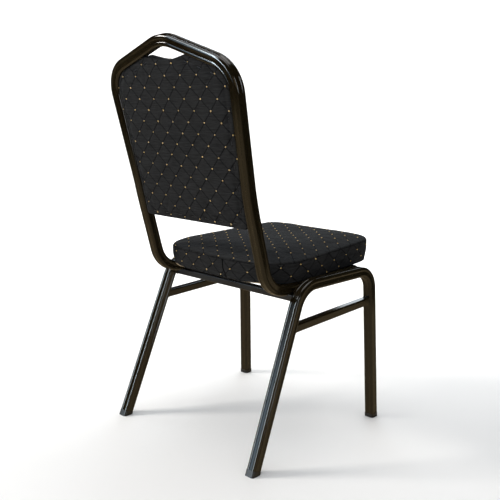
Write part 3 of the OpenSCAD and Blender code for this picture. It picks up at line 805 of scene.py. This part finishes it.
def make_front_pad():
    """The padded front of the back, with rolled edges; its face looks forward from the plane of the back."""
    outline = panel_outline(0.3)
    normal = outward(outline)
    count = len(outline)
    centre = BACK_CENTRE
    thick = 17.0
    swollen = inflate("back_foam_swell", panel_outline(3.0), thick, 9.0)
    roll_inset, roll_depth = FRONT_ROLL[-1]
    rings = []
    for inset, depth in FRONT_ROLL:
        wave = 0.5 * ripple(np.column_stack([outline, np.full(count, depth)]), 34.0, 8) * smooth(depth / 8)
        rings.append(np.column_stack([outline - normal * (inset - wave)[:, None], np.full(count, depth)]))
    edge = rings[-1]
    steps = 60
    for i in range(1, steps + 1):
        f = (i / (steps + 1)) ** 0.92
        xy = centre + (edge[:, :2] - centre) * (1 - f)
        distance = edge_distance(xy, outline) - roll_inset
        z = np.array([cast_height(swollen, x, v, thick) for x, v in xy])
        dome = roll_depth + 1.6 * smooth(distance / 14) + np.clip(z - thick, 0, 8.5) * smooth(distance / 50)
        soft = ripple(np.column_stack([xy, np.full(count, 5.0)]), 62.0, 9)
        rings.append(np.column_stack([xy, dome + 0.8 * soft * smooth(distance / 30)]))
    rear = -5.0
    flat = [np.column_stack([r[:, 0], rear - r[:, 2], r[:, 1]]) for r in rings]

    def lattice(i, k, mid):
        x, v = (centre if k is None else flat[i][k % count][[0, 2]])
        side = np.zeros(2)
        if k is not None and i < len(FRONT_ROLL):
            side = normal[k % count] * max(0.0, roll_depth - rings[i][k % count][2])
        return lattice_uv(x + side[0], v + side[1], *FRONT_WEAVE)

    mesh = ring_mesh("back_front_pad", flat, ON_BACK, lattice)
    pad = new_object("back_front_pad", mesh, CLOTH)
    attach(pad, "root")
    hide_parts("back_foam", "back_front_cover")
    knots("back_front_knots", pad)


# ---- Weld beads -----------------------------------------------------------------------------
BEAD_RADIUS = 0.0013
BEAD_LIFT = 0.0004
BEAD_POINTS = 56
# Each welded bar, with the number of the axis it lies along
WELDED_BARS = {"stretcher_left": 1, "stretcher_right": 1, "rear_crossbar": 0, "front_crossbar": 0}


def bead(name, path, seed):
    """A wavy bead of weld round a closed path of points, in metres."""
    shift = Vector((seed, 0, 0))
    radii = []
    for i, p in enumerate(path):
        wave = 1 + 0.22 * math.sin(i * 1.25 + seed) + 0.25 * noise.noise(p * 400 + shift)
        radii.append(BEAD_RADIUS * wave)
    sweep(name, path, radii, 8, True, TUBE_PAINT_WITH_PAINTED_REFLECTION)


def end_ring(node, axis, sign):
    """The outline of a bar's coped end: how far its skin reaches along axis, all round its middle."""
    p = node_points(node)
    other = [i for i in range(3) if i != axis]
    half = (p[:, axis].max() + p[:, axis].min()) / 2
    mine = p[(p[:, axis] - half) * sign > 0]
    tip = mine[np.abs(mine[:, axis] - (mine[:, axis] * sign).max() * sign) < 0.02]
    mid = tip[:, other].mean(0)
    tree = BVHTree.FromPolygons([Vector(q) for q in p],
                                [tuple(f.vertices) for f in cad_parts[node].data.polygons])
    ring = []
    for i in range(BEAD_POINTS):
        a = 2 * math.pi * i / BEAD_POINTS
        direction = Vector((0.0, 0.0, 0.0))
        direction[other[0]], direction[other[1]] = math.cos(a), math.sin(a)
        for step in range(60):
            at = Vector((0.0, 0.0, 0.0))
            at[axis] = (mine[:, axis] * sign).max() * sign - sign * step * 0.0005
            at[other[0]], at[other[1]] = mid
            hit = tree.ray_cast(at + direction * 0.03, -direction, 0.03)[0]
            if hit:
                ring.append(hit + direction * BEAD_LIFT)
                break
    return ring


def make_weld_beads():
    for node, axis in WELDED_BARS.items():
        for sign, end in ((-1, "a"), (1, "b")):
            ring = end_ring(node, axis, sign)
            if len(ring) > 20:
                bead(f"weld_{node}_{end}", ring, len(node) + sign)


# ---- Stage, lights and camera ---------------------------------------------------------------
CAMERA_YAW = math.radians(224.0)
CAMERA_PITCH = math.radians(10.95)
CAMERA_ROLL = math.radians(0.83)
CAMERA_PLACE = (-1.1969, 1.2730, 0.7674)
VIEW_TURN = Matrix.Rotation(CAMERA_YAW, 4, "Z")


def make_stage():
    """A pale floor that curves up into a wall on the far side of the chair."""
    size, back, curve = 14.0, 5.0, 2.0
    verts, faces = [], []
    profile = [(-size, 0.0)] + [(back + curve * math.sin(a), curve * (1 - math.cos(a)))
                                for a in np.linspace(0, math.pi / 2, 24)] + [(back + curve, 9.0)]
    for d, z in profile:
        for w in (-size, size):
            verts.append((w, d, z))
    for i in range(len(profile) - 1):
        faces.append((2 * i, 2 * i + 1, 2 * i + 3, 2 * i + 2))
    mesh = bpy.data.meshes.new("floor")
    mesh.from_pydata([VIEW_TURN @ Vector(v) for v in verts], [], faces)
    for p in mesh.polygons:
        p.use_smooth = True
    m = Nodes("floor_paper")
    tone = m.mix(m.noise(3.0, 3.0, m.place()), rgb(0.86, 0.85, 0.83), rgb(0.88, 0.87, 0.855))
    mesh.materials.append(m.finish(Base_Color=tone, Roughness=0.85))
    floor = bpy.data.objects.new("floor", mesh)
    bpy.context.scene.collection.objects.link(floor)
    floor.visible_glossy = False


def area_light(name, place, target, size, power, colour=(1, 1, 1)):
    """A soft light at place, turned towards target; size is in metres and power in watts."""
    light = bpy.data.lights.new(name, "AREA")
    light.shape = "RECTANGLE"
    light.size, light.size_y = size
    light.energy = power
    light.color = colour
    obj = bpy.data.objects.new(name, light)
    obj.location = place
    obj.visible_camera = False
    obj.rotation_euler = (Vector(target) - Vector(place)).to_track_quat("-Z", "Y").to_euler()
    bpy.context.scene.collection.objects.link(obj)
    return obj


def reflection_card(name, place, size, power, colour, target=(0.0, 0.0, 0.4)):
    """A light seen only in glossy surfaces, as a white card beside a studio set is."""
    card = area_light(name, place, target, size, power, colour)
    card.visible_diffuse = False


def make_camera():
    """A camera behind the chair and to the sitter's right, a little above it."""
    yaw, pitch, roll = CAMERA_YAW, CAMERA_PITCH, CAMERA_ROLL
    ahead = Vector((-math.sin(yaw) * math.cos(pitch), math.cos(yaw) * math.cos(pitch), -math.sin(pitch)))
    level = Vector((math.cos(yaw), math.sin(yaw), 0.0))
    above = level.cross(ahead)
    right = math.cos(roll) * level + math.sin(roll) * above
    up = -math.sin(roll) * level + math.cos(roll) * above
    camera = bpy.data.cameras.new("camera")
    camera.lens = 52.45
    camera.sensor_width = 36.0
    camera.shift_x = 0.021
    camera.shift_y = 0.001
    obj = bpy.data.objects.new("camera", camera)
    turn = Matrix((right, up, -ahead)).transposed()
    obj.matrix_world = Matrix.Translation(CAMERA_PLACE) @ turn.to_4x4()
    bpy.context.scene.collection.objects.link(obj)
    bpy.context.scene.camera = obj


def make_lights():
    """A pale surround, soft lights, and cards whose reflections draw the lines along the tubes."""
    world = bpy.data.worlds.new("studio")
    world.use_nodes = True
    background = world.node_tree.nodes["Background"]
    background.inputs["Color"].default_value = rgb(0.92, 0.95, 1.0)
    background.inputs["Strength"].default_value = 0.52
    world.cycles_visibility.glossy = False
    bpy.context.scene.world = world
    bpy.context.scene.view_settings.view_transform = "Standard"
    area_light("overhead", (0.1, -0.3, 3.4), (0.0, -0.2, 0.0), (2.6, 2.6), 38.0, (1.0, 0.99, 0.97))
    area_light("key", (2.1, 1.9, 2.3), (0, 0.1, 0.6), (0.8, 0.6), 66.0, (1.0, 0.97, 0.93))
    area_light("far_window", (1.7, -2.3, 2.1), (0, 0.0, 0.4), (1.3, 0.9), 15.0, (0.70, 0.86, 1.0))
    reflection_card("left_sky", (2.0, 3.5, 1.0), (1.1, 2.8), 26.0, (0.55, 0.78, 1.0))
    reflection_card("left_window", (1.3, 3.0, 1.8), (0.45, 3.2), 150.0, (0.80, 0.92, 1.0))
    reflection_card("right_sky", (-3.6, 0.9, 1.3), (0.5, 2.4), 34.0, (0.86, 0.90, 0.92))
    reflection_card("front_sky", (1.6, -3.4, 1.6), (1.2, 2.4), 22.0, (0.86, 0.94, 1.0))
    reflection_card("ceiling", (1.0, 2.0, 3.1), (1.7, 1.2), 52.0, (0.84, 0.94, 1.0))
    reflection_card("warm_floor", (0.0, 0.2, 0.002), (3.0, 3.0), 11.5, (1.0, 0.76, 0.44), (0.0, 0.2, 1.0))
    reflection_card("warm_room", (-2.7, 2.9, 0.9), (2.0, 1.6), 10.0, (1.0, 0.76, 0.46))
    wall = VIEW_TURN @ Vector((0.0, 6.0, 1.2))
    area_light("wash", VIEW_TURN @ Vector((0.0, 1.8, 3.6)), wall, (4.0, 1.0), 330.0)


make_camera()
make_seat_cushion()
make_rear_cover()
make_front_pad()
make_weld_beads()
make_stage()
make_lights()
